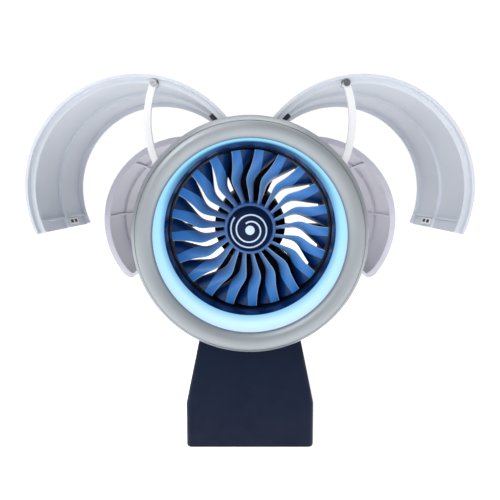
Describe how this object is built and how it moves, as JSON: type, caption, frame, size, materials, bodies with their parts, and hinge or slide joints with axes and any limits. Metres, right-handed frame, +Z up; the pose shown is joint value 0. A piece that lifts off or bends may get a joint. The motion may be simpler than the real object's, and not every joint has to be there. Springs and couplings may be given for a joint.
{
  "type": "jet engine display model",
  "caption": "Desk display model of a high-bypass turbofan engine on a stand: glowing intake ring, turning fan, hinged fan cowl doors held open by struts, and opening rear half-shells.",
  "frame": {"origin": "centre of the underside of the stand, on the table", "axes": "+Z up, the intake faces -Y, the exhaust points to +Y, +X is to the right seen from the front"},
  "size_m": [0.3952, 0.281, 0.3215],
  "materials": {
    "silver_lip": "silver paint over printed plastic",
    "navy_duct": "dark navy satin",
    "light_diffuser": "frosted diffuser, lit",
    "led_board": "white board",
    "black_case": "black satin",
    "frame_grey": "grey printed plastic",
    "fan_blue": "blue satin",
    "spinner_navy": "navy gloss with a white spiral",
    "steel": "plain",
    "bush_brass": "turned",
    "core_metal": "warm grey metallic paint",
    "exhaust_metal": "heat-tinted metallic paint",
    "fitting_black": "black",
    "tank_white": "light grey",
    "pylon_grey": "light grey",
    "hinge_black": "black printed plastic",
    "cowl_white": "white satin",
    "duct_lilac": "lilac grey satin",
    "strut_white": "white",
    "stand_navy": "dark navy satin",
    "foot_rubber": "matt",
    "board_green": "green board with parts",
    "switch_black": "moulded"
  },
  "bodies": {
    "engine_and_stand": {"inlet_lip": "silver_lip", "inlet_cowl": "silver_lip", "inlet_bulkhead": "black_case", "light_ring": "light_diffuser", "intake_liner": "navy_duct", "led_strip": "led_board", "fan_case": "black_case", "case_bolts": "steel", "fan_frame": "black_case", "front_bearing_plate": "black_case", "rear_bearing_plate": "frame_grey", "front_bush": "bush_brass", "rear_bush": "bush_brass", "motor_plate": "frame_grey", "fan_motor": "steel", "compressor_case": "frame_grey", "combustor_case": "core_metal", "turbine_case": "core_metal", "turbine_rear_frame": "core_metal", "exhaust_nozzle": "exhaust_metal", "exhaust_cone": "exhaust_metal", "fuel_manifold": "bush_brass", "accessory_gearbox": "fitting_black", "oil_tank": "tank_white", "pylon_beam": "pylon_grey", "front_mount": "frame_grey", "rear_mount": "frame_grey", "pylon_fairing": "pylon_grey", "hinge_lugs": "hinge_black", "hinge_pins": "steel", "strut_catches": "fitting_black", "stand_body": "stand_navy", "base_screws": "steel", "saddle_bolts": "steel", "base_plate": "stand_navy", "rubber_feet": "foot_rubber", "driver_board": "board_green", "switch_housing": "switch_black", "power_socket": "switch_black"},
    "fan": {"fan_rotor": "fan_blue", "spinner": "spinner_navy", "fan_shaft": "steel"},
    "cowl_door_left": {"fan_cowl_left": "cowl_white", "cowl_hinges_left": "hinge_black", "cowl_latch_left": "strut_white", "strut_screw_left": "steel"},
    "cowl_door_right": {"fan_cowl_right": "cowl_white", "cowl_hinges_right": "hinge_black", "cowl_latch_right": "strut_white", "strut_screw_right": "steel"},
    "strut_left": {"hold_open_strut_left": "strut_white"},
    "strut_right": {"hold_open_strut_right": "strut_white"},
    "duct_door_left": {"c_duct_left": "duct_lilac", "duct_hinges_left": "hinge_black"},
    "duct_door_right": {"c_duct_right": "duct_lilac", "duct_hinges_right": "hinge_black"},
    "rocker": {"switch_rocker": "switch_black"}
  },
  "joints": [
    {"name": "fan_spin", "type": "hinge", "parent": "engine_and_stand", "child": "fan", "pos_m": [0, -0.018, 0.184], "axis": [0, 1, 0], "continuous": true},
    {"name": "cowl_left_close", "type": "hinge", "parent": "engine_and_stand", "child": "cowl_door_left", "pos_m": [-0.01996, -0.008, 0.2779], "axis": [0, -1, 0], "range_deg": [0, 66]},
    {"name": "strut_left_turn", "type": "hinge", "parent": "cowl_door_left", "child": "strut_left", "pos_m": [-0.08395, -0.05, 0.31407], "axis": [0, -1, 0], "range_deg": [-77.9, 0]},
    {"name": "duct_left_close", "type": "hinge", "parent": "engine_and_stand", "child": "duct_door_left", "pos_m": [-0.03452, 0.082, 0.27165], "axis": [0, -1, 0], "range_deg": [0, 44]},
    {"name": "cowl_right_close", "type": "hinge", "parent": "engine_and_stand", "child": "cowl_door_right", "pos_m": [0.01996, -0.008, 0.2779], "axis": [0, 1, 0], "range_deg": [0, 66]},
    {"name": "strut_right_turn", "type": "hinge", "parent": "cowl_door_right", "child": "strut_right", "pos_m": [0.08395, -0.05, 0.31407], "axis": [0, 1, 0], "range_deg": [-77.9, 0]},
    {"name": "duct_right_close", "type": "hinge", "parent": "engine_and_stand", "child": "duct_door_right", "pos_m": [0.03452, 0.082, 0.27165], "axis": [0, 1, 0], "range_deg": [0, 44]},
    {"name": "rocker_tilt", "type": "hinge", "parent": "engine_and_stand", "child": "rocker", "pos_m": [-0.02, 0.067, 0.02], "axis": [1, 0, 0], "range_deg": [0, 16]}
  ],
  "couplings": [
    {"joint": "strut_left_turn", "follows": "cowl_left_close", "ratio": -1.1803},
    {"joint": "strut_right_turn", "follows": "cowl_right_close", "ratio": -1.1803}
  ]
}
